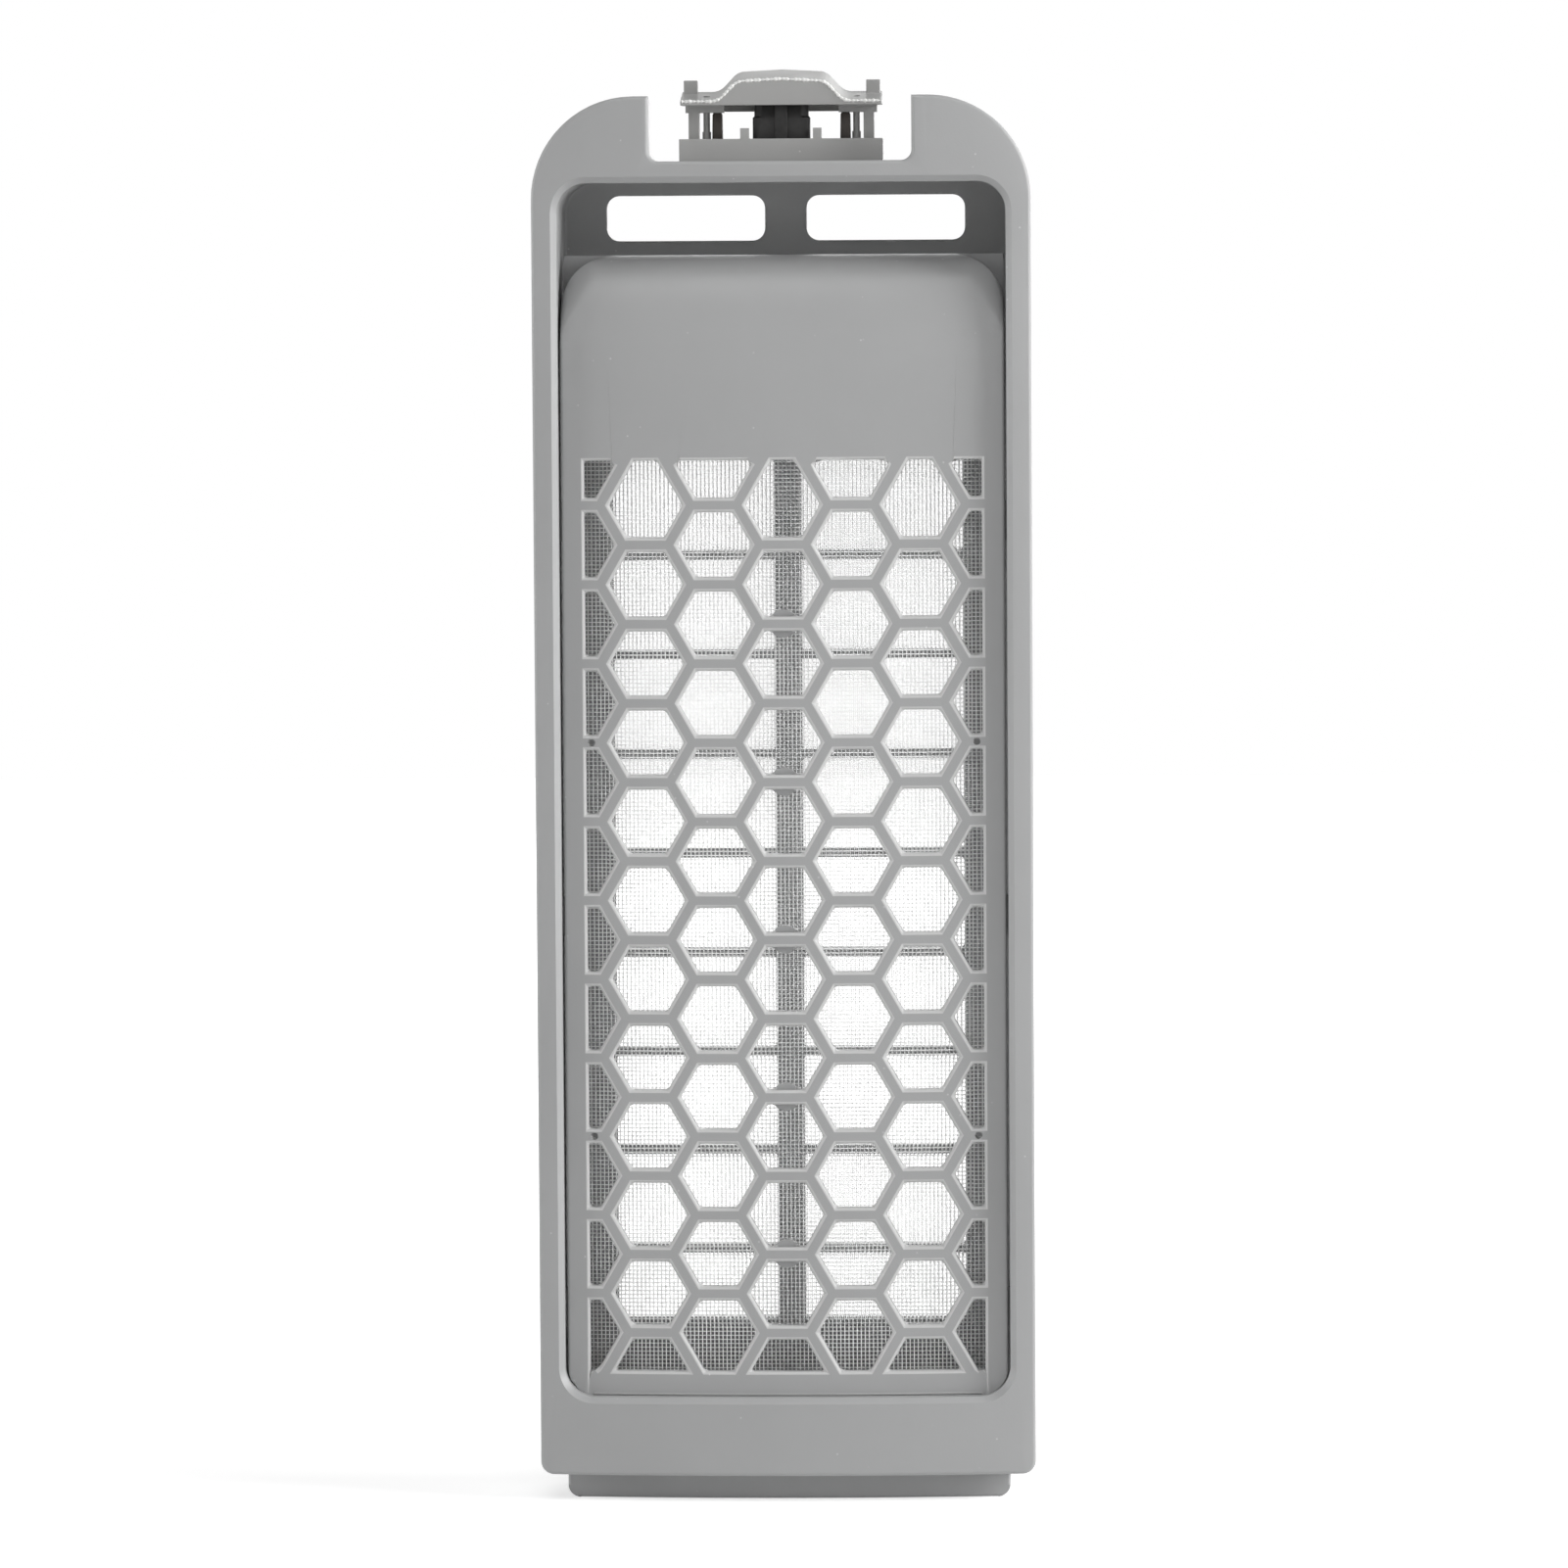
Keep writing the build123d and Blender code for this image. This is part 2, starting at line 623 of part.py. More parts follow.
# Latch base: block with leg pockets, a groove for the spring, guide pins and prongs
with BuildPart() as latch_base:
    with BuildSketch(Plane.XY.offset(base_low)):
        with Locations((0, latch_y)):
            Rectangle(base_width, latch_depth)
    extrude(amount=base_high - base_low)
    with BuildSketch(Plane.XY.offset(block_low)):
        with Locations((0, latch_y)):
            Rectangle(spring_length + 2 * spring_clearance, block_depth + 2 * spring_clearance)
    extrude(amount=spring_strip, mode=Mode.SUBTRACT)
    with BuildSketch(Plane.XY.offset(base_low)):
        with Locations((0, latch_y)):
            with GridLocations(2 * leg_x, 1, 2, 1):
                Rectangle(leg_width + 2 * pocket_clearance, leg_depth + 2 * pocket_clearance)
    extrude(amount=base_high - base_low, mode=Mode.SUBTRACT)
    with BuildSketch(Plane.XY.offset(base_low)):
        with Locations((0, latch_y + toe_reach / 2)):
            with GridLocations(2 * leg_x, 1, 2, 1):
                Rectangle(
                    leg_width + 2 * pocket_clearance,
                    leg_depth + toe_reach + 2 * pocket_clearance,
                )
    extrude(amount=toe_high - base_low, mode=Mode.SUBTRACT)
    with BuildSketch(Plane.XY.offset(base_high)):
        with Locations((-guide_pin_x, latch_y), (guide_pin_x, latch_y)):
            Circle(guide_pin_radius)
    extrude(amount=guide_pin_height)
    with BuildSketch(Plane.XY.offset(base_high)):
        with Locations((-guide_pin_x, latch_y), (guide_pin_x, latch_y)):
            Circle(guide_foot_radius)
    extrude(amount=guide_foot_height)
    with BuildSketch(Plane.XY.offset(base_high)):
        with Locations((-prong_x, latch_front), (prong_x, latch_front)):
            Rectangle(
                prong_width,
                (latch_depth - block_depth) / 2 - spring_clearance,
                align=(Align.CENTER, Align.MIN),
            )
    extrude(amount=prong_height)
    with BuildSketch(Plane.XY.offset(base_low)):
        with Locations((-spigot_spacing / 2, latch_y), (spigot_spacing / 2, latch_y)):
            Circle(spigot_radius)
    extrude(amount=spigot_clearance - wall)
latch_base.part.label = "latch_base"
export_step(latch_base.part, "parts/latch_base.step")

# Return spring: elastic strip with a middle block and two side posts
with BuildPart() as return_spring:
    with BuildSketch(Plane.XY.offset(block_low)):
        with Locations((0, latch_y)):
            Rectangle(spring_length, block_depth)
    extrude(amount=spring_strip)
    with BuildSketch(Plane.XY.offset(base_high)):
        with Locations((0, latch_y)):
            Rectangle(block_width, block_depth)
        with Locations((0, latch_y - block_depth / 2)):
            Rectangle(block_rib, 2 * block_rib_proud)
    extrude(amount=cap_ceiling - base_high)
    with BuildSketch(Plane.XY.offset(base_high)):
        with Locations((0, latch_y)):
            with GridLocations(2 * post_x, 1, 2, 1):
                Rectangle(post_width, leg_depth)
    extrude(amount=boss_low - base_high)
return_spring.part.label = "return_spring"
export_step(return_spring.part, "parts/return_spring.step")

# Latch button: arched cap with wings, lugs, toed legs and bored bosses
with BuildPart() as latch_button:
    for depth, drop in ((button_front, button_slope), (button_back, 0)):
        with BuildSketch(Plane.XZ.offset(-depth)) as profile:
            with BuildLine():
                Polyline(
                    (-button_width / 2, wing_low),
                    (-button_width / 2, wing_high - drop),
                    (-arch_foot, wing_high - drop),
                    (-arch_head, arch_high - drop),
                    (0, arch_high + arch_crest - drop),
                    (arch_head, arch_high - drop),
                    (arch_foot, wing_high - drop),
                    (button_width / 2, wing_high - drop),
                    (button_width / 2, wing_low),
                    close=True,
                )
            make_face()
            fillet(profile.vertices().group_by(Axis.Y)[-2], arch_head_round)
            fillet(profile.vertices().group_by(Axis.Y)[1].sort_by(Axis.X)[1:3], arch_foot_round)
    loft(ruled=True)
    # Hollow under the arch
    with BuildSketch(Plane.XZ.offset(button_wall - button_back)):
        with BuildLine():
            Polyline(
                (-arch_foot + button_wall, wing_low),
                (-arch_head + button_wall, cap_ceiling),
                (arch_head - button_wall, cap_ceiling),
                (arch_foot - button_wall, wing_low),
                close=True,
            )
        make_face()
    extrude(amount=button_depth - 2 * button_wall, mode=Mode.SUBTRACT)
    # Rail along the back
    with BuildSketch(Plane.XZ.offset(-button_back)):
        with Locations((0, wing_low)):
            Rectangle(2 * arch_foot, rail_drop, align=(Align.CENTER, Align.MAX))
    extrude(amount=button_wall)
    # Bosses under the wings, bored for the guide pins
    with BuildSketch(Plane.XY.offset(boss_low)):
        with Locations((0, latch_y)):
            with GridLocations(boss_inner + boss_outer, 1, 2, 1):
                Rectangle(boss_outer - boss_inner, leg_depth)
    extrude(amount=boss_height)
    # Legs with toes
    with BuildSketch(Plane.XY.offset(toe_low)):
        with Locations((0, latch_y)):
            with GridLocations(2 * leg_x, 1, 2, 1):
                Rectangle(leg_width, leg_depth)
    extrude(amount=boss_low - toe_low)
    with BuildSketch(Plane.XY.offset(toe_low)):
        with Locations((0, latch_y + toe_reach / 2)):
            with GridLocations(2 * leg_x, 1, 2, 1):
                Rectangle(leg_width, leg_depth + toe_reach)
    extrude(amount=toe_height)
    # Lugs at the back of the wings
    with BuildSketch(Plane.XY.offset(wing_low)):
        with Locations((0, button_back)):
            with GridLocations(button_width - lug_width - 2 * lug_inset, 1, 2, 1):
                Rectangle(lug_width, lug_depth, align=(Align.CENTER, Align.MAX))
    extrude(amount=wing_high - wing_low + lug_height)
    with BuildSketch(Plane.XY.offset(boss_low)):
        with Locations((-guide_pin_x, latch_y), (guide_pin_x, latch_y)):
            Circle(guide_pin_radius + guide_clearance)
    extrude(amount=wing_high - boss_low, mode=Mode.SUBTRACT)
latch_button.part.label = "latch_button"
export_step(latch_button.part, "parts/latch_button.step")
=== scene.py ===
"""Looks of a lint filter box: satin grey mouldings, woven nylon nets, a sprung latch button and a pale studio."""

import logging
import math
from dataclasses import dataclass
from enum import Enum

import bmesh
import bpy
import numpy as np
from mathutils import Matrix, Vector


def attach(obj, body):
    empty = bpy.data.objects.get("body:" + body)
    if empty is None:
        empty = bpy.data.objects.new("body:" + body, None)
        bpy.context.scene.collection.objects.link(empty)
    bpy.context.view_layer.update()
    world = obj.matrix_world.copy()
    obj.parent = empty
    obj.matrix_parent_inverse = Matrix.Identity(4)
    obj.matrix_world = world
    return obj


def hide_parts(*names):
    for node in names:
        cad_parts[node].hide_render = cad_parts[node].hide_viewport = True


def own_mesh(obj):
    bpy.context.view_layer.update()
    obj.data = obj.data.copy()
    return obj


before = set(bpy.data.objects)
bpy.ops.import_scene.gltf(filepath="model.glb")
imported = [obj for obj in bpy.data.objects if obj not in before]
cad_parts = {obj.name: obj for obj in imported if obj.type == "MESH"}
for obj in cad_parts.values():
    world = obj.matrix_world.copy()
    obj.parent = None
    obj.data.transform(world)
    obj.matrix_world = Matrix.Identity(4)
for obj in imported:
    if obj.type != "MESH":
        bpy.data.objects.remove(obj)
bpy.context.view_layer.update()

MM = 0.001
MERGE_MM = 0.002
SHARP_DEG = 32.0
TINY = 1e-9
NOISE_RANGE = (0.3, 0.7)
CLOUD_DETAIL = 3.0
LOG = logging.getLogger("lint_filter_box")

Colour = tuple[float, float, float]
Place = tuple[float, float, float]
Range = tuple[float, float]
Socket = bpy.types.NodeSocket


class Body(Enum):
    """The rigid bodies of the filter box that a piece can ride on."""

    FRAME = "frame"
    CASE = "case"
    BUTTON = "button"


class Slot(Enum):
    """The material slots of the record."""

    FRAME_PLASTIC = "frame_plastic"
    PANEL_PLASTIC = "panel_plastic"
    CASE_PLASTIC = "case_plastic"
    LATCH_PLASTIC = "latch_plastic"
    NYLON_NET = "nylon_net"
    ELASTOMER = "elastomer"


class Thread(Enum):
    """The two directions of thread in a plain weave."""

    WARP = "warp"
    WEFT = "weft"


class NodeTree:
    """The shader nodes of a material or a world, joined by socket name or number."""

    def __init__(self, owner: bpy.types.Material | bpy.types.World, output: str) -> None:
        """Start an empty tree with an output node.

        Args:
            owner: the new material or world.
            output: the output node's type name.
        """
        owner.use_nodes = True
        self.owner = owner
        self.tree = owner.node_tree
        self.tree.nodes.clear()
        self.output = self.add(output)

    @classmethod
    def for_material(cls, name: str) -> "NodeTree":
        """Start a new material and return its tree."""
        return cls(bpy.data.materials.new(name), "ShaderNodeOutputMaterial")

    def add(self, kind: str, settings: dict | None = None, **inputs: object) -> bpy.types.Node:
        """Add one node.

        Args:
            kind: the node's type name.
            settings: properties of the node, such as its operation.
            inputs: socket values or sockets to join, by socket name with spaces as underscores.

        Returns:
            The new node.
        """
        node = self.tree.nodes.new(kind)
        for key, value in (settings or {}).items():
            setattr(node, key, value)
        for key, value in inputs.items():
            self.put(node, key.replace("_", " "), value)
        return node

    def put(self, node: bpy.types.Node, socket: str | int, value: object) -> None:
        """Set a socket to a number or colour, or join another node's socket to it.

        Args:
            node: the node whose input is set.
            socket: the input's name or number.
            value: a constant, or an output socket.
        """
        target = node.inputs[socket]
        if isinstance(value, Socket):
            self.tree.links.new(value, target)
        elif target.type == "RGBA":
            target.default_value = (*value, 1.0)
        else:
            target.default_value = value

    def place(self) -> Socket:
        """Add the object's own coordinates, in metres, and return their socket."""
        return self.add("ShaderNodeTexCoord").outputs["Object"]

    def combine(self, operation: str, first: Socket, second: Socket | float) -> Socket:
        """Combine two numbers.

        Args:
            operation: the name of the operation.
            first: the socket of the first number.
            second: the second number, or its socket.

        Returns:
            The result's socket.
        """
        node = self.add("ShaderNodeMath", {"operation": operation})
        self.put(node, 0, first)
        self.put(node, 1, second)
        return node.outputs[0]

    def mapped(self, value: Socket, old: Range, new: Range) -> Socket:
        """Map a number from one range onto another, and hold it at the new range's ends.

        Args:
            value: the number's socket.
            old: the range that it comes from.
            new: the range that it is mapped onto.

        Returns:
            The mapped number's socket.
        """
        ends = {"From_Min": old[0], "From_Max": old[1], "To_Min": new[0], "To_Max": new[1]}
        return self.add("ShaderNodeMapRange", Value=value, **ends).outputs["Result"]

    def noise(self, place: Socket, size_mm: float, new: Range | None = None, detail: float = 2.0) -> Socket:
        """Add a noise whose patches are about size_mm wide.

        Args:
            place: the coordinates it reads.
            size_mm: the width of one patch.
            new: the range that its usual values are mapped onto, if any.
            detail: how many finer layers it has.

        Returns:
            The noise's socket.
        """
        found = self.add("ShaderNodeTexNoise", Vector=place, Scale=1.0 / (size_mm * MM), Detail=detail)
        factor = found.outputs["Factor" if "Factor" in found.outputs else "Fac"]
        return factor if new is None else self.mapped(factor, NOISE_RANGE, new)

    def cloud(self, place: Socket, size_mm: float) -> Socket:
        """Add a soft cloud from 0 to 1 whose patches are about size_mm wide, and return its socket."""
        return self.noise(place, size_mm, (0.0, 1.0), CLOUD_DETAIL)

    def blend(self, share: Socket, first: Colour | Socket, second: Colour | Socket) -> Socket:
        """Mix two colours.

        Args:
            share: how much of the second colour shows.
            first: a colour, or a socket that gives one.
            second: a colour, or a socket that gives one.

        Returns:
            The mixed colour's socket.
        """
        node = self.add("ShaderNodeMix", {"data_type": "RGBA"})
        for number, value in ((0, share), (6, first), (7, second)):
            self.put(node, number, value)
        return node.outputs[2]

    def relief(self, height: Socket, depth_mm: float) -> Socket:
        """Add a relief of a given depth and return the socket of its normal."""
        return self.add("ShaderNodeBump", Height=height, Strength=1.0, Distance=depth_mm * MM).outputs["Normal"]

    def seen(self) -> Socket:
        """Add a number that tells who looks.

        Returns:
            Its socket, which is 1 for the camera, for gloss and for clear threads, and 0 for all else.
        """
        path = self.add("ShaderNodeLightPath")
        found = path.outputs["Is Camera Ray"]
        for ray in ("Is Glossy Ray", "Is Transmission Ray"):
            found = self.combine("MAXIMUM", found, path.outputs[ray])
        return found

    def close(self, shader: bpy.types.Node) -> bpy.types.Material | bpy.types.World:
        """Join the shader to the output and return the material or world."""
        self.put(self.output, "Surface", shader.outputs[0])
        return self.owner


def scaled(colour: Colour, factor: float) -> Colour:
    """Return a colour made lighter or darker by a factor."""
    return tuple(min(1.0, channel * factor) for channel in colour)


@dataclass(frozen=True)
class MouldedPlastic:
    """Satin moulded plastic: a spark-eroded grain, cloudy tone and a few light specks of dust."""

    name: str
    colour: Colour
    roughness: Range = (0.37, 0.46)
    specular: float = 0.45
    cloud_mm: float = 32.0
    cloud_depth: float = 0.03
    gloss_share: float = 1.0 / 6.0
    grain_mm: float = 0.32
    grain_depth_mm: float = 0.012
    speck_spacing_mm: float = 2.4
    speck_radius_mm: float = 0.2
    speck_share: float = 0.3
    speck_gain: float = 1.6

    def material(self) -> bpy.types.Material:
        """Build the material.

        Returns:
            A material whose colour, gloss and relief follow the object's own coordinates.
        """
        nodes = NodeTree.for_material(self.name)
        place = nodes.place()
        dark, light = (scaled(self.colour, 1.0 + sign * self.cloud_depth) for sign in (-1.0, 1.0))
        tone = nodes.blend(nodes.cloud(place, self.cloud_mm), dark, light)
        specks = nodes.add("ShaderNodeTexVoronoi", Vector=place, Scale=1.0 / (self.speck_spacing_mm * MM))
        reach = self.speck_radius_mm / self.speck_spacing_mm
        near = nodes.mapped(specks.outputs["Distance"], (0.0, reach), (1.0, 0.0))
        chance = nodes.add("ShaderNodeSeparateColor", Color=specks.outputs["Color"]).outputs[0]
        dust = nodes.combine("MULTIPLY", near, nodes.combine("LESS_THAN", chance, self.speck_share))
        shader = nodes.add(
            "ShaderNodeBsdfPrincipled",
            Base_Color=nodes.blend(dust, tone, scaled(self.colour, self.speck_gain)),
            Roughness=nodes.noise(place, self.cloud_mm * self.gloss_share, self.roughness),
            Specular_IOR_Level=self.specular,
            Normal=nodes.relief(nodes.noise(place, self.grain_mm), self.grain_depth_mm),
        )
        return nodes.close(shader)


@dataclass(frozen=True)
class BlackElastomer:
    """Matte black elastic rubber with a fine bloom."""

    name: str
    colour: Colour = (0.006, 0.0057, 0.0055)
    bloom: Colour = (0.014, 0.0135, 0.013)
    roughness: Range = (0.48, 0.66)
    specular: float = 0.4
    bloom_mm: float = 1.6
    gloss_mm: float = 2.5
    grain_mm: float = 0.25
    grain_depth_mm: float = 0.015

    def material(self) -> bpy.types.Material:
        """Build the material.

        Returns:
            A material with a cloudy bloom and a fine grain.
        """
        nodes = NodeTree.for_material(self.name)
        place = nodes.place()
        shader = nodes.add(
            "ShaderNodeBsdfPrincipled",
            Base_Color=nodes.blend(nodes.cloud(place, self.bloom_mm), self.colour, self.bloom),
            Roughness=nodes.noise(place, self.gloss_mm, self.roughness),
            Specular_IOR_Level=self.specular,
            Normal=nodes.relief(nodes.noise(place, self.grain_mm), self.grain_depth_mm),
        )
        return nodes.close(shader)


@dataclass(frozen=True)
class ClearNylon:
    """Clear white nylon thread that lets some light through."""

    name: str
    colour: Colour = (0.99, 0.99, 0.99)
    shade: Colour = (0.97, 0.97, 0.965)
    clearness: float = 0.93
    bend: float = 1.3
    roughness: Range = (0.4, 0.52)
    cloud_mm: float = 6.0
    gloss_mm: float = 3.0

    def material(self) -> bpy.types.Material:
        """Build the material.

        Returns:
            A half clear material with a slight cloud from thread to thread.
        """
        nodes = NodeTree.for_material(self.name)
        place = nodes.place()
        shader = nodes.add(
            "ShaderNodeBsdfPrincipled",
            Base_Color=nodes.blend(nodes.cloud(place, self.cloud_mm), self.colour, self.shade),
            Roughness=nodes.noise(place, self.gloss_mm, self.roughness),
            Transmission_Weight=self.clearness,
            IOR=self.bend,
        )
        return nodes.close(shader)


@dataclass(frozen=True)
class PaleFloor:
    """Plain pale studio floor that reads white and keeps the object's shadow."""

    name: str
    colour: Colour = (0.90, 0.90, 0.90)
    near_far_m: Range = (0.10, 0.45)
    lift: Range = (0.5, 0.9)

    def material(self) -> bpy.types.Material:
        """Build the material.

        Returns:
            A diffuse material with a lift that only the camera, gloss and clear threads see. The lift grows with
            the distance from the box, where the lamps' light on the floor falls off.
        """
        nodes = NodeTree.for_material(self.name)
        reach = nodes.add("ShaderNodeVectorMath", {"operation": "LENGTH"})
        nodes.put(reach, 0, nodes.place())
        level = nodes.mapped(reach.outputs["Value"], self.near_far_m, self.lift)
        glow = nodes.add("ShaderNodeEmission", Strength=nodes.combine("MULTIPLY", nodes.seen(), level))
        both = nodes.add("ShaderNodeAddShader")
        nodes.put(both, 0, nodes.add("ShaderNodeBsdfDiffuse", Color=self.colour).outputs[0])
        nodes.put(both, 1, glow.outputs[0])
        return nodes.close(both)


Finish = MouldedPlastic | BlackElastomer | ClearNylon | PaleFloor


def mesh_from_arrays(name: str, points: np.ndarray, faces: np.ndarray) -> bpy.types.Mesh:
    """Make a mesh from whole arrays.

    Args:
        name: the mesh's name.
        points: vertex places in metres, one row each.
        faces: vertex numbers, one row of equal length per face.

    Returns:
        The new mesh, shaded smooth.
    """
    mesh = bpy.data.meshes.new(name)
    corners = faces.shape[1]
    mesh.vertices.add(len(points))
    mesh.vertices.foreach_set("co", points.astype(np.float32).ravel())
    mesh.loops.add(faces.size)
    mesh.loops.foreach_set("vertex_index", faces.astype(np.int32).ravel())
    mesh.polygons.add(len(faces))
    mesh.polygons.foreach_set("loop_start", np.arange(0, faces.size, corners, dtype=np.int32))
    mesh.polygons.foreach_set("use_smooth", np.ones(len(faces), dtype=bool))
    mesh.update(calc_edges=True)
    mesh.validate()
    return mesh


def read(items: bpy.types.bpy_prop_collection, key: str, kind: type = np.float32, size: int = 1) -> np.ndarray:
    """Read one property of all vertices, edges, loops or faces of a mesh as a whole array.

    Args:
        items: the vertices, edges, loops or faces.
        key: the property's name.
        kind: the type of its numbers.
        size: how many numbers each item has.

    Returns:
        One row per item, or one number per item where the size is 1.
    """
    values = np.empty(len(items) * size, dtype=kind)
    items.foreach_get(key, values)
    return values.reshape(-1, size) if size > 1 else values


def put_in_scene(name: str, data: bpy.types.ID) -> bpy.types.Object:
    """Put a mesh, a lamp or a camera into the scene as an object at the origin and return it."""
    made = bpy.data.objects.new(name, data)
    bpy.context.scene.collection.objects.link(made)
    return made


def dress(
    piece: bpy.types.Object, finishes: tuple[Finish, ...], body: Body, node: str | None = None
) -> None:
    """Give a piece its finishes and its body, in the place of a CAD node where it has one.

    Args:
        piece: the built piece.
        finishes: its finishes, the main one first.
        body: the body it rides on.
        node: the CAD node that it replaces, if any.
    """
    for finish in finishes:
        piece.data.materials.append(finish.material())
    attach(piece, body.value)
    if node is not None:
        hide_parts(node)


def merged_copy(node: bpy.types.Object, name: str) -> bpy.types.Mesh:
    """Copy a CAD node's loose triangles as one closed skin.

    Equal corners become one vertex, so that the skin is closed and can be shaded across its triangles.

    Args:
        node: the CAD node, which is left as it is.
        name: the new mesh's name.

    Returns:
        The merged mesh, smooth but for its edges.
    """
    points = read(node.data.vertices, "co", size=3)
    corners = read(node.data.loops, "vertex_index", np.int32)
    mesh = mesh_from_arrays(name, points, corners.reshape(-1, 3))
    skin = bmesh.new()
    skin.from_mesh(mesh)
    bmesh.ops.remove_doubles(skin, verts=skin.verts, dist=MERGE_MM * MM)
    bmesh.ops.dissolve_degenerate(skin, edges=skin.edges, dist=MERGE_MM * MM)
    skin.to_mesh(mesh)
    skin.free()
    mesh.set_sharp_from_angle(angle=math.radians(SHARP_DEG))
    return mesh


def paired_faces(mesh: bpy.types.Mesh) -> tuple[np.ndarray, np.ndarray, np.ndarray]:
    """Find the edges that have a face on both sides.

    Args:
        mesh: a mesh with faces.

    Returns:
        The numbers of these edges, and of the faces on one side and on the other.
    """
    face_of_loop = np.repeat(np.arange(len(mesh.polygons)), read(mesh.polygons, "loop_total", np.int32))
    edge_of_loop = read(mesh.loops, "edge_index", np.int32)
    order = np.argsort(edge_of_loop, kind="stable")
    uses = np.bincount(edge_of_loop, minlength=len(mesh.edges))
    first = np.concatenate(([0], np.cumsum(uses)[:-1]))
    paired = np.flatnonzero(uses == 2)
    return paired, face_of_loop[order[first[paired]]], face_of_loop[order[first[paired] + 1]]


def smooth_regions(faces: int, left: np.ndarray, right: np.ndarray) -> np.ndarray:
    """Number the smooth surfaces of a skin, where neighbouring faces that run on into each other share a number.

    Every face starts with its own number. Neighbours take the lower of their two numbers until none changes.

    Args:
        faces: how many faces the skin has.
        left: one face of each pair of smooth neighbours.
        right: the other face of each pair.

    Returns:
        One region number per face.
    """
    region = np.arange(faces)
    while True:
        lower = np.minimum(region[left], region[right])
        after = region.copy()
        np.minimum.at(after, left, lower)
        np.minimum.at(after, right, lower)
        after = after[after]
        if np.array_equal(after, region):
            return region
        region = after


@dataclass(frozen=True)
class RimRule:
    """Which edges of a moulding take a rounded rim, and how large it is."""

    size_mm: float
    steps: int = 3
    smooth_deg: float = 25.0
    least_turn_deg: float = 50.0
    least_width_mm: float = 0.9
    least_area_mm2: float = 0.0
    least_length_mm: float = 0.3
    highest_mm: float = 300.0

    def weights(self, mesh: bpy.types.Mesh) -> np.ndarray:
        """Find the edges of a moulding that take a rounded rim.

        An edge counts if its two faces turn by more than the least turn, if it is long enough and low enough, and if
        both smooth surfaces that meet there are wider and larger than the least. A surface's width is twice its area
        over the length of its border. Faces that turn by less than the smooth angle belong to one smooth surface.

        Args:
            mesh: a merged mesh of triangles.

        Returns:
            One weight per edge, 0 or 1.
        """
        count = len(mesh.polygons)
        paired, left, right = paired_faces(mesh)
        span = read(mesh.vertices, "co", size=3)[read(mesh.edges, "vertices", np.int32, 2)[paired]]
        length = np.linalg.norm(span[:, 0] - span[:, 1], axis=1)
        normals = read(mesh.polygons, "normal", size=3)
        turn = np.sum(normals[left] * normals[right], axis=1)
        smooth = turn > math.cos(math.radians(self.smooth_deg))
        region = smooth_regions(count, left[smooth], right[smooth])
        near, far = region[left], region[right]
        border = ~smooth
        around = sum(np.bincount(side[border], weights=length[border], minlength=count) for side in (near, far))
        area = np.bincount(region, weights=read(mesh.polygons, "area"), minlength=count)
        width = 2.0 * area / np.maximum(around, TINY)
        fit = np.minimum(width[near], width[far]) > self.least_width_mm * MM
        fit &= np.minimum(area[near], area[far]) >= self.least_area_mm2 * MM**2
        fit &= length > self.least_length_mm * MM
        fit &= span[:, :, 2].max(axis=1) < self.highest_mm * MM
        fit &= turn < math.cos(math.radians(self.least_turn_deg))
        found = np.zeros(len(mesh.edges), dtype=np.float32)
        found[paired] = fit
        return found


@dataclass
class MouldedPiece:
    """One moulding of the box: the CAD node's own shape as a closed skin with rounded rims.

    The last of its finishes is on the rims; where it is lighter, it is a painted highlight on the rounded edges.
    """

    node: str
    body: Body
    slot: Slot
    rim: RimRule
    finishes: tuple[Finish, ...]

    def build(self) -> bpy.types.Object:
        """Build the piece in the place of its CAD node.

        Returns:
            The dressed piece, riding on its body.
        """
        mesh = merged_copy(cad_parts[self.node], f"{self.node}_skin")
        weights = self.rim.weights(mesh)
        mesh.attributes.new("bevel_weight_edge", "FLOAT", "EDGE").data.foreach_set("value", weights)
        piece = put_in_scene(f"{self.node}_moulding", mesh)
        rim = piece.modifiers.new("rounded_rim", "BEVEL")
        rim.limit_method = "WEIGHT"
        rim.width = self.rim.size_mm * MM
        rim.segments = self.rim.steps
        rim.use_clamp_overlap = False
        rim.loop_slide = False
        rim.harden_normals = True
        rim.miter_outer = "MITER_SHARP"
        rim.material = len(self.finishes) - 1
        dress(piece, self.finishes, self.body, self.node)
        return piece


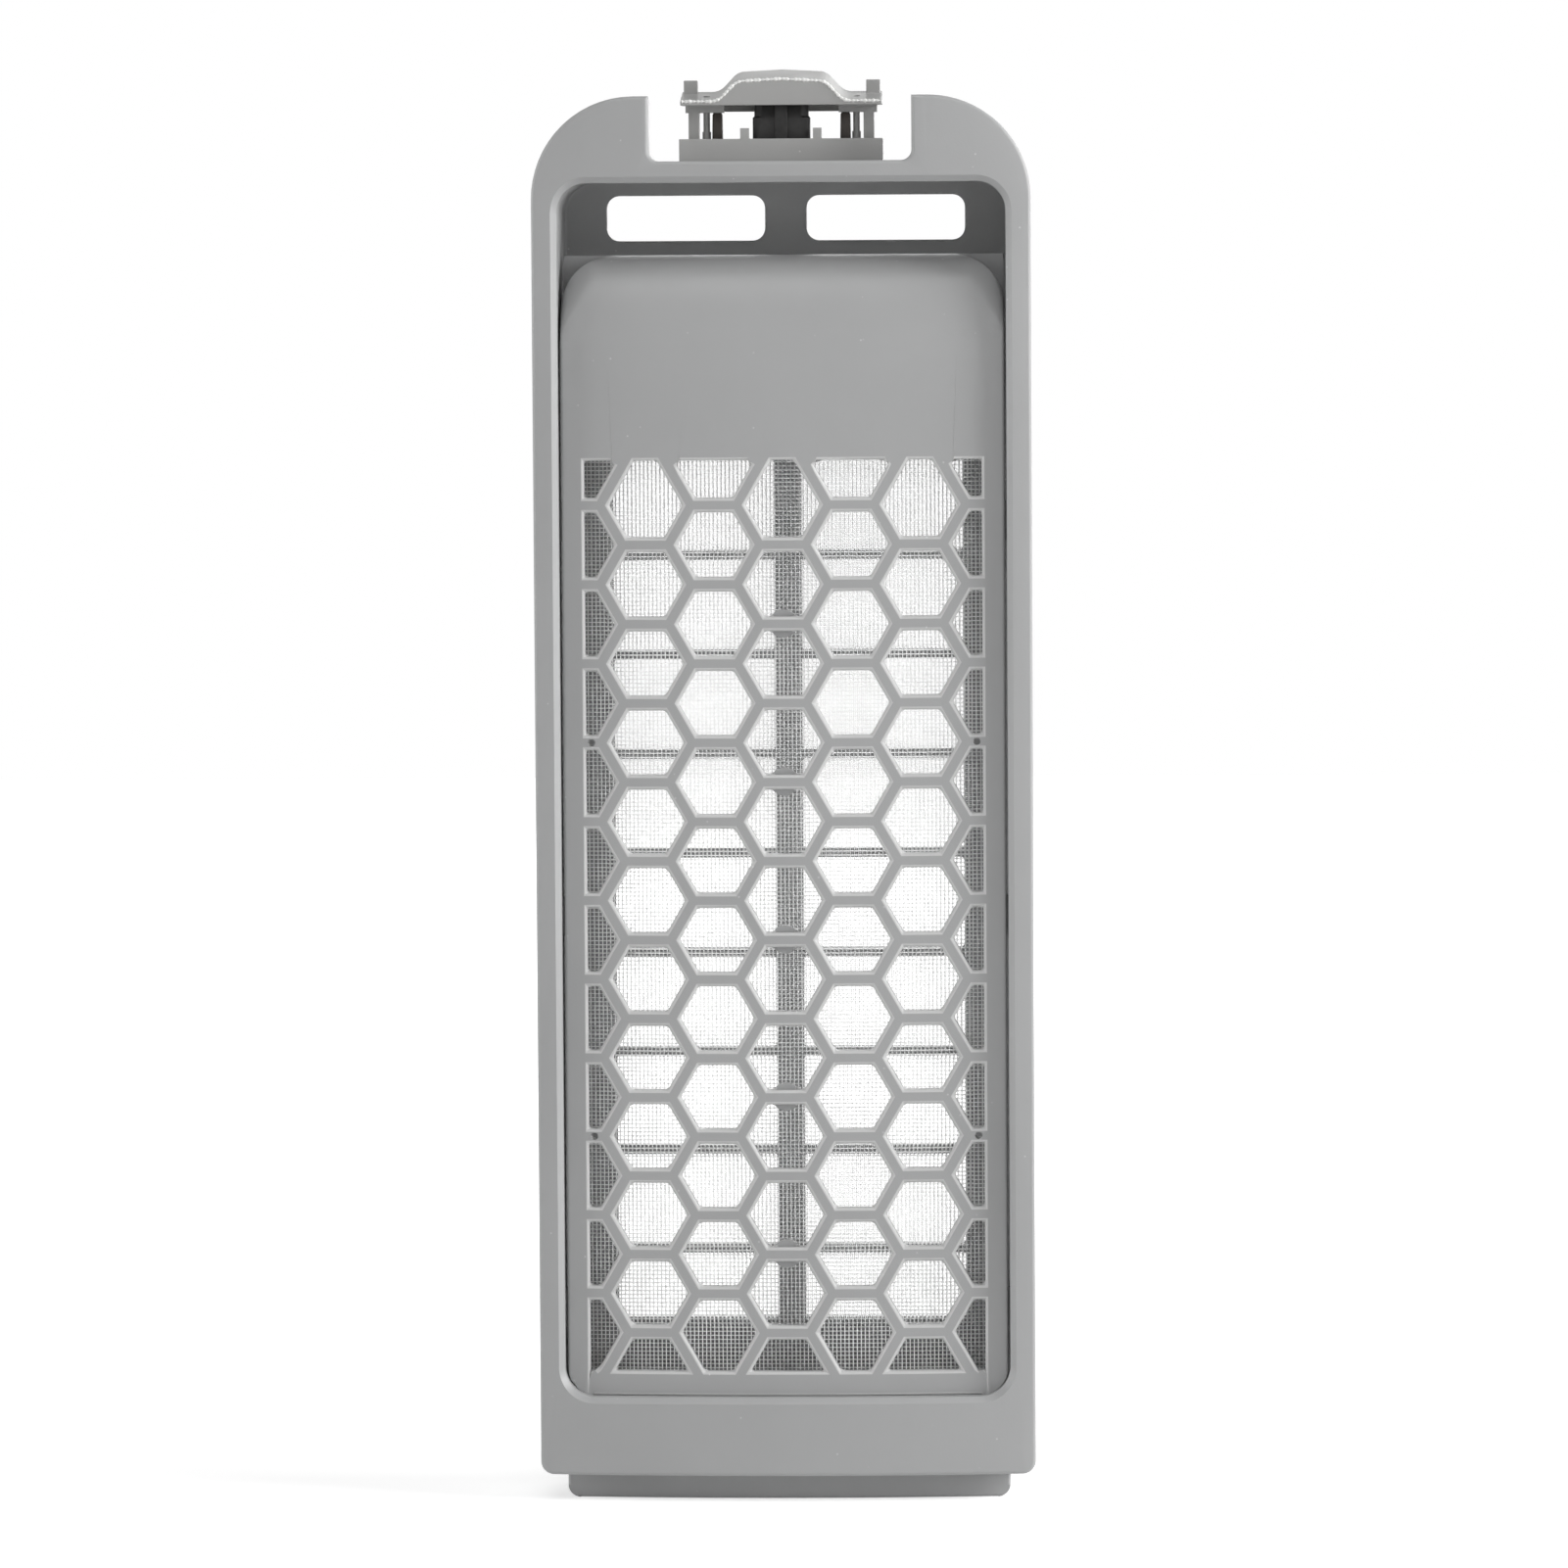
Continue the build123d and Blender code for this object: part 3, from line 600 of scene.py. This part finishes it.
@dataclass
class WovenNet:
    """A fine plain weave of clear nylon thread, stretched flat or over a shallow arch.

    Every weft thread runs across the net and passes over one warp thread and under the next. The warp threads run
    straight up. A point of the net is given by its distance across, its height and how far it stands out.
    """

    name: str
    node: str
    body: Body
    finish: Finish
    rests_on: str
    half_width_mm: float
    low_mm: float
    high_mm: float
    middle_y_mm: float
    arch_radius_mm: float | None = None
    pitch_mm: float = 0.62
    thread_mm: float = 0.16
    swing_mm: float = 0.12
    sides: int = 4
    pins_mm: tuple[Range, ...] = ()
    pin_push_mm: float = 0.8
    pin_core_mm: float = 0.001
    pin_bends_mm: tuple[float, ...] = (-1.3, -0.5, 0.0, 0.5, 1.3)

    def parted(self, across: np.ndarray, height: np.ndarray) -> tuple[np.ndarray, np.ndarray]:
        """Push the threads aside where the pins of the mould went through the net.

        A point moves straight away from a pin, and the cube of its distance grows by the cube of the push.

        Args:
            across: distance across the net in millimetres.
            height: height in millimetres, an array of the same shape.

        Returns:
            Both distances after the push.
        """
        for pin_across, pin_height in self.pins_mm:
            side, rise = across - pin_across, height - pin_height
            away = np.hypot(side, rise) + self.pin_core_mm
            grown = np.cbrt(away**3 + self.pin_push_mm**3) / away
            across, height = pin_across + side * grown, pin_height + rise * grown
        return across, height

    def place(self, across: np.ndarray, height: np.ndarray, out: np.ndarray) -> np.ndarray:
        """Turn net coordinates into places.

        On an arch, across is measured along its arc, so x is the radius times the sine of the turn, and y falls
        back by the radius times one less its cosine. Otherwise across is x, and out is towards the front.

        Args:
            across: distance across the net in millimetres.
            height: height in millimetres.
            out: distance towards the front in millimetres.

        Returns:
            Places in metres, with the coordinates along the last axis.
        """
        if self.arch_radius_mm is None:
            side, depth = across, self.middle_y_mm - out
        else:
            turn = across / self.arch_radius_mm
            side = (self.arch_radius_mm + out) * np.sin(turn)
            depth = self.middle_y_mm + self.arch_radius_mm - (self.arch_radius_mm + out) * np.cos(turn)
        return np.stack(np.broadcast_arrays(side, depth, height), axis=-1) * MM

    def tubes(self, kind: Thread) -> tuple[np.ndarray, np.ndarray]:
        """Work out all threads of one direction as closed tubes.

        A ring of points turns about the thread's line: the cosine of its angle stands out of the net and the sine
        lies in the net, square to the thread.

        Args:
            kind: warp or weft.

        Returns:
            Places in metres and four-cornered faces.
        """
        half, radius = self.half_width_mm, self.thread_mm / 2
        columns = int(2 * half / self.pitch_mm)
        rows = int((self.high_mm - self.low_mm) / self.pitch_mm)
        warp_x = (np.arange(columns) - (columns - 1) / 2) * (2 * half / columns)
        weft_z = self.low_mm + (np.arange(rows) + 0.5) * (self.high_mm - self.low_mm) / rows
        turn = np.arange(self.sides) * 2 * np.pi / self.sides
        ring_out, ring_in = radius * np.cos(turn), radius * np.sin(turn)
        if kind is Thread.WEFT:
            line = np.concatenate(([-half], warp_x, [half]))
            step = np.arange(len(line))[None, :] + np.arange(rows)[:, None]
            swing = self.swing_mm * np.where(step % 2 == 0, 1.0, -1.0)
            across, height = self.parted(*np.broadcast_arrays(line[None, :], weft_z[:, None]))
            across, height = across[:, :, None], height[:, :, None] + ring_in
            out = swing[:, :, None] + ring_out
        else:
            pin_rows = sorted({pin_height for _, pin_height in self.pins_mm})
            bends = [pin_height + np.array(self.pin_bends_mm) for pin_height in pin_rows]
            line = np.concatenate(([self.low_mm], *bends, [self.high_mm]))
            across, height = self.parted(*np.broadcast_arrays(warp_x[:, None], line[None, :]))
            across, height = across[:, :, None] - ring_in, height[:, :, None]
            out = ring_out[None, None, :]
        points = self.place(*np.broadcast_arrays(across, height, out))
        number = np.arange(points[..., 0].size).reshape(points.shape[:3])
        after = np.roll(number, -1, axis=2)
        walls = np.stack((number[:, :-1], number[:, 1:], after[:, 1:], after[:, :-1]), axis=-1)
        starts, ends = number[:, 0, :], number[:, -1, ::-1]
        return points.reshape(-1, 3), np.concatenate((walls.reshape(-1, 4), starts, ends))

    def build(self) -> bpy.types.Object:
        """Weave the net in the place of its CAD node.

        Returns:
            The dressed net, riding on its body.
        """
        weft_points, weft_faces = self.tubes(Thread.WEFT)
        warp_points, warp_faces = self.tubes(Thread.WARP)
        points = np.concatenate((weft_points, warp_points))
        faces = np.concatenate((weft_faces, warp_faces + len(weft_points)))
        net = put_in_scene(self.name, mesh_from_arrays(self.name, points, faces))
        dress(net, (self.finish,), self.body, self.node)
        return net


def ring_walls(rings: int, around: int) -> tuple[np.ndarray, np.ndarray]:
    """Join a row of rings by four-cornered faces.

    Args:
        rings: how many rings there are.
        around: how many points each ring has.

    Returns:
        The points' numbers, one row per ring, and the faces.
    """
    number = np.arange(rings * around).reshape(rings, around)
    after = np.roll(number, -1, axis=1)
    walls = np.stack((number[:-1], after[:-1], after[1:], number[1:]), axis=-1)
    return number, walls.reshape(-1, 4)


@dataclass
class SoftColumn:
    """One upright lump of the elastic return spring, a stack of rounded rectangles.

    A ring point at turn t lies half the width times the cosine's root to one side and half the depth times the
    sine's root to the back, with each root keeping its sign. A high root makes nearly square rings. Each row gives
    a ring's height, half width and half depth.
    """

    name: str
    finish: Finish
    middle_mm: Range
    rows_mm: tuple[tuple[float, float, float], ...]
    keep: float
    anchor_mm: float
    joint: str = "button_slide"
    squareness: float = 7.0
    points_round: int = 36
    sharp_deg: float = 40.0

    def skin(self) -> tuple[np.ndarray, np.ndarray]:
        """Work out the stack of rings with flat ends.

        The ends are strips of four-cornered faces from one half of the ring to the other.

        Returns:
            Places in metres and four-cornered faces.
        """
        rows = np.array(self.rows_mm)
        count = self.points_round
        turn = (np.arange(count) + 0.5) * 2 * np.pi / count
        root = 2.0 / self.squareness
        side, back = (np.sign(wave) * np.abs(wave) ** root for wave in (np.cos(turn), np.sin(turn)))
        across = self.middle_mm[0] + rows[:, 1, None] * side
        depth = self.middle_mm[1] + rows[:, 2, None] * back
        points = np.stack(np.broadcast_arrays(across, depth, rows[:, 0, None]), axis=-1).reshape(-1, 3) * MM
        number, walls = ring_walls(len(rows), count)
        step = np.arange(count // 2 - 1)
        strip = np.stack((step, step + 1, count - 2 - step, count - 1 - step), axis=-1)
        return points, np.concatenate((walls, strip[:, ::-1], number[-1][strip]))

    def build(self) -> bpy.types.Object:
        """Build the lump on the frame.

        Returns:
            The dressed lump.
        """
        mesh = mesh_from_arrays(self.name, *self.skin())
        mesh.set_sharp_from_angle(angle=math.radians(self.sharp_deg))
        lump = put_in_scene(self.name, mesh)
        dress(lump, (self.finish,), Body.FRAME, "return_spring")
        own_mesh(lump)
        return lump


def rounded_path(corners: np.ndarray, radius: float, steps: int) -> np.ndarray:
    """Follow straight lines between corners, with an arc at every inner corner.

    The arc's centre lies on the line that halves the corner, the radius over the sine of half the angle away.

    Args:
        corners: the corners, one row each.
        radius: the arcs' radius.
        steps: how many points each arc gets.

    Returns:
        The points of the path.
    """
    path = [corners[:1]]
    for before, corner, after in zip(corners[:-2], corners[1:-1], corners[2:]):
        inward = (before - corner) / np.linalg.norm(before - corner)
        outward = (after - corner) / np.linalg.norm(after - corner)
        half = 0.5 * math.acos(float(np.clip(inward @ outward, -1.0, 1.0)))
        halving = (inward + outward) / np.linalg.norm(inward + outward)
        middle = corner + halving * radius / math.sin(half)
        side = (outward - inward) / np.linalg.norm(outward - inward)
        turn = np.linspace(-1.0, 1.0, steps)[:, None] * (math.pi / 2 - half)
        path.append(middle + radius * (np.sin(turn) * side - np.cos(turn) * halving))
    return np.concatenate((*path, corners[-1:]))


@dataclass
class EdgeFlash:
    """The thin line of flash that the mould left along the front edge of the button's top, coloured near white:
    partly the flash's own whitening, partly a painted highlight of the edge catching the light.

    It is a four-sided thread on the edge's path, whose thickness wanders by the mean of three waves along the path.
    """

    finish: Finish
    name: str = "button_flash"
    front_mm: float = -8.66
    half_width_mm: float = 15.0
    wing_mm: float = 212.58
    foot_mm: float = 9.5
    head_mm: float = 6.7
    arch_mm: float = 215.58
    crest_mm: float = 215.93
    round_mm: float = 2.6
    arc_steps: int = 12
    thick_mm: float = 0.23
    wander: float = 0.55
    waves_mm: tuple[float, float, float] = (3.7, 1.43, 0.61)
    wave_start: float = 1.7
    samples: int = 420
    sides: int = 4

    def skin(self) -> tuple[np.ndarray, np.ndarray]:
        """Work out the thread along the edge.

        Returns:
            Places in metres and four-cornered faces.
        """
        right = [(self.head_mm, self.arch_mm), (self.foot_mm, self.wing_mm), (self.half_width_mm, self.wing_mm)]
        left = [(-side, height) for side, height in reversed(right)]
        corners = np.array([*left, (0.0, self.crest_mm), *right])
        path = rounded_path(corners, self.round_mm, self.arc_steps)
        run = np.concatenate(([0.0], np.cumsum(np.linalg.norm(np.diff(path, axis=0), axis=1))))
        along = np.linspace(0.0, run[-1], self.samples)
        middle = np.stack((np.interp(along, run, path[:, 0]), np.interp(along, run, path[:, 1])), axis=-1)
        heading = np.gradient(middle, axis=0)
        heading /= np.linalg.norm(heading, axis=1)[:, None]
        waves = [np.sin(2 * np.pi * along / length + self.wave_start * length) for length in self.waves_mm]
        thick = self.thick_mm * (1.0 + self.wander * np.mean(waves, axis=0))
        turn = np.arange(self.sides) * 2 * np.pi / self.sides
        outward = thick[:, None] * np.cos(turn)[None, :]
        across = middle[:, 0, None] - heading[:, 1, None] * outward
        height = middle[:, 1, None] + heading[:, 0, None] * outward
        depth = self.front_mm - thick[:, None] * np.sin(turn)[None, :]
        points = np.stack((across, depth, height), axis=-1).reshape(-1, 3) * MM
        number, walls = ring_walls(self.samples, self.sides)
        return points, np.concatenate((walls, number[:1, ::-1], number[-1:]))

    def build(self) -> bpy.types.Object:
        """Lay the flash on the button.

        Returns:
            The dressed flash, riding on the button.
        """
        flash = put_in_scene(self.name, mesh_from_arrays(self.name, *self.skin()))
        dress(flash, (self.finish,), Body.BUTTON)
        return flash


@dataclass
class FilterBox:
    """The whole filter box: frame, grille, rear case, nets and latch."""

    grey: Colour = (0.398, 0.401, 0.403)
    # a lighter grey for the grille's cell rims: a painted highlight where the rounded edges catch the light
    rim_painted_highlight: Colour = (0.60, 0.60, 0.598)
    latch_grey: Colour = (0.425, 0.424, 0.418)
    # near white for the mould flash on the button's edge: partly its own whitening, partly a painted highlight of
    # the edge catching the light
    flash_and_highlight_white: Colour = (0.93, 0.93, 0.91)
    brown: Colour = (0.016, 0.011, 0.008)
    brown_bloom: Colour = (0.030, 0.023, 0.018)
    button_specular: float = 0.04
    pin_x_mm: float = 29.28
    pin_rows_mm: Range = (55.7, 115.7)
    latch_y_mm: float = -4.85
    rib_y_mm: float = -6.85
    post_x_mm: float = 9.7
    strip_foot_mm: float = 205.95
    lump_foot_mm: float = 206.95
    block_keep: float = 0.66
    post_keep: float = 0.36

    def mouldings(self) -> list[MouldedPiece]:
        """List the moulded pieces with their finishes."""
        frame_grey = MouldedPlastic("frame_grey", self.grey)
        panel_grey = MouldedPlastic("panel_grey", self.grey)
        # the lighter rim finish is a painted highlight on the cell rims
        rim_painted_highlight = MouldedPlastic("panel_rim_painted_highlight", self.rim_painted_highlight)
        case_grey = MouldedPlastic("case_grey", self.grey)
        base_grey = MouldedPlastic("base_grey", self.latch_grey)
        button_grey = MouldedPlastic("button_grey", self.latch_grey, specular=self.button_specular)
        wide, fine = RimRule(0.4), RimRule(0.12)
        cells = RimRule(
            0.45,
            steps=4,
            least_width_mm=0.6,
            least_area_mm2=2.8,
            least_length_mm=0.6,
            highest_mm=170.0,
        )
        return [
            MouldedPiece("front_frame", Body.FRAME, Slot.FRAME_PLASTIC, wide, (frame_grey,)),
            MouldedPiece("grille_panel", Body.FRAME, Slot.PANEL_PLASTIC, cells, (panel_grey, rim_painted_highlight)),
            MouldedPiece("rear_case", Body.CASE, Slot.CASE_PLASTIC, wide, (case_grey,)),
            MouldedPiece("latch_base", Body.FRAME, Slot.LATCH_PLASTIC, fine, (base_grey,)),
            MouldedPiece("latch_button", Body.BUTTON, Slot.LATCH_PLASTIC, fine, (button_grey,)),
        ]

    def nets(self) -> list[WovenNet]:
        """List the two nets: one behind the honeycomb, one inside the windows of the rear case."""
        return [
            WovenNet(
                name="front_net",
                node="front_mesh",
                body=Body.FRAME,
                finish=ClearNylon("front_nylon"),
                rests_on="grille_panel",
                half_width_mm=31.35,
                low_mm=18.5,
                high_mm=159.7,
                middle_y_mm=-9.85,
                arch_radius_mm=294.85,
                pins_mm=tuple((side, row) for row in self.pin_rows_mm for side in (-self.pin_x_mm, self.pin_x_mm)),
            ),
            WovenNet(
                name="rear_net",
                node="rear_mesh",
                body=Body.CASE,
                finish=ClearNylon("rear_nylon"),
                rests_on="rear_case",
                half_width_mm=28.1,
                low_mm=23.8,
                high_mm=185.8,
                middle_y_mm=11.5,
            ),
        ]

    def spring(self) -> list[SoftColumn]:
        """List the lumps of the return spring: strip, block, rib and two posts."""
        black = BlackElastomer("black_elastomer")
        brown = BlackElastomer("brown_elastomer", colour=self.brown, bloom=self.brown_bloom)
        middle, front = (0.0, self.latch_y_mm), (0.0, self.rib_y_mm)
        left, right = ((side, self.latch_y_mm) for side in (-self.post_x_mm, self.post_x_mm))
        strip = ((self.strip_foot_mm, 10.5, 2.0), (206.94, 10.5, 2.0))
        block = ((206.9, 4.35, 2.0), (210.1, 4.35, 2.0), (210.35, 4.1, 1.8), (214.1, 4.1, 1.8), (214.3, 3.9, 1.6))
        rib = ((206.9, 1.0, 0.4), (213.9, 1.0, 0.4), (214.2, 0.8, 0.3))
        post = ((206.9, 0.8, 1.5), (210.6, 0.74, 1.44), (210.88, 0.6, 1.3))
        return [
            SoftColumn("spring_strip", black, middle, strip, 1.0, self.strip_foot_mm),
            SoftColumn("spring_block", black, middle, block, self.block_keep, self.lump_foot_mm),
            SoftColumn("spring_rib", black, front, rib, self.block_keep, self.lump_foot_mm),
            SoftColumn("spring_post_left", brown, left, post, self.post_keep, self.lump_foot_mm),
            SoftColumn("spring_post_right", brown, right, post, self.post_keep, self.lump_foot_mm),
        ]

    def build(self) -> None:
        """Build every piece in order and report it."""
        # the flash's near-white colour is partly its own whitening and partly a painted highlight along the edge
        flash = EdgeFlash(MouldedPlastic("flash_and_highlight_white", self.flash_and_highlight_white, speck_share=0.0))
        for part in [*self.mouldings(), *self.nets(), *self.spring(), flash]:
            piece = part.build()
            LOG.info("%s: %d faces", piece.name, len(piece.data.polygons))


@dataclass(frozen=True)
class SoftLamp:
    """A large soft lamp that points at the middle of the box."""

    name: str
    place: Place
    power: float
    target: Place = (0.0, 0.0, 0.11)
    size: float = 0.9

    def build(self) -> bpy.types.Object:
        """Hang the lamp and return it."""
        data = bpy.data.lights.new(self.name, "AREA")
        data.shape = "DISK"
        data.size = self.size
        data.energy = self.power
        lamp = put_in_scene(self.name, data)
        lamp.location = self.place
        lamp.rotation_euler = (Vector(self.target) - Vector(self.place)).to_track_quat("-Z", "Y").to_euler()
        return lamp


@dataclass
class Studio:
    """Camera, floor, lamps and background."""

    camera_mm: Place = (42.934, -1287.515, 197.749)
    yaw_deg: float = 1.9286
    pitch_deg: float = 3.9592
    roll_deg: float = -0.3558
    view_deg: float = 10.6087
    sensor_mm: float = 36.0
    clip_m: Range = (0.05, 20.0)
    ambient: float = 0.17
    floor_reach: float = 1.6
    floor_lines: int = 9
    lamps: tuple[SoftLamp, ...] = (
        SoftLamp("side_right", (1.35, -0.3, 0.55), 21.0),
        SoftLamp("side_left", (-1.35, -0.3, 0.45), 7.0),
        SoftLamp("top", (-0.15, -0.8, 1.2), 3.8),
        SoftLamp("front", (0.3, -1.4, 0.5), 0.5),
        SoftLamp("back", (0.2, 1.2, 0.5), 4.0),
    )

    def camera(self) -> bpy.types.Object:
        """Set up the camera at the photograph's viewing angle.

        Returns:
            The scene's camera.
        """
        yaw, pitch, roll = (math.radians(angle) for angle in (self.yaw_deg, self.pitch_deg, self.roll_deg))
        ahead = Vector((-math.sin(yaw) * math.cos(pitch), math.cos(yaw) * math.cos(pitch), -math.sin(pitch)))
        level = Vector((math.cos(yaw), math.sin(yaw), 0.0))
        upward = level.cross(ahead)
        right = math.cos(roll) * level + math.sin(roll) * upward
        up = math.cos(roll) * upward - math.sin(roll) * level
        data = bpy.data.cameras.new("photo_camera")
        data.sensor_width = self.sensor_mm
        data.lens = self.sensor_mm / 2 / math.tan(math.radians(self.view_deg) / 2)
        data.clip_start, data.clip_end = self.clip_m
        camera = put_in_scene("photo_camera", data)
        turn = Matrix((right, up, -ahead)).transposed().to_4x4()
        camera.matrix_world = Matrix.Translation(Vector(self.camera_mm) * MM) @ turn
        bpy.context.scene.camera = camera
        return camera

    def floor(self) -> bpy.types.Object:
        """Lay a flat floor under the sole, a grid of points at height zero, and return it."""
        line = np.linspace(-self.floor_reach, self.floor_reach, self.floor_lines)
        across, along = np.meshgrid(line, line, indexing="ij")
        points = np.stack((across, along, np.zeros_like(across)), axis=-1).reshape(-1, 3)
        number = np.arange(line.size**2).reshape(line.size, line.size)
        faces = np.stack((number[:-1, :-1], number[1:, :-1], number[1:, 1:], number[:-1, 1:]), axis=-1)
        floor = put_in_scene("studio_floor", mesh_from_arrays("studio_floor", points, faces.reshape(-1, 4)))
        floor.data.materials.append(PaleFloor("pale_floor").material())
        return floor

    def background(self) -> None:
        """Make the world white to the camera and a plain soft light to everything else."""
        nodes = NodeTree(bpy.data.worlds.new("white_studio"), "ShaderNodeOutputWorld")
        level = nodes.mapped(nodes.seen(), (0.0, 1.0), (self.ambient, 1.0))
        shade = nodes.add("ShaderNodeBackground", Color=(1.0, 1.0, 1.0), Strength=level)
        bpy.context.scene.world = nodes.close(shade)

    def build(self) -> None:
        """Set up the whole studio."""
        bpy.context.scene.view_settings.view_transform = "Standard"
        self.camera()
        self.floor()
        self.background()
        for lamp in self.lamps:
            lamp.build()
            LOG.info("lamp %s", lamp.name)


def main() -> None:
    """Build the filter box and its studio."""
    logging.basicConfig(level=logging.INFO, format="%(name)s %(message)s")
    FilterBox().build()
    Studio().build()
    bpy.context.view_layer.update()


if __name__ == "__main__":
    main()
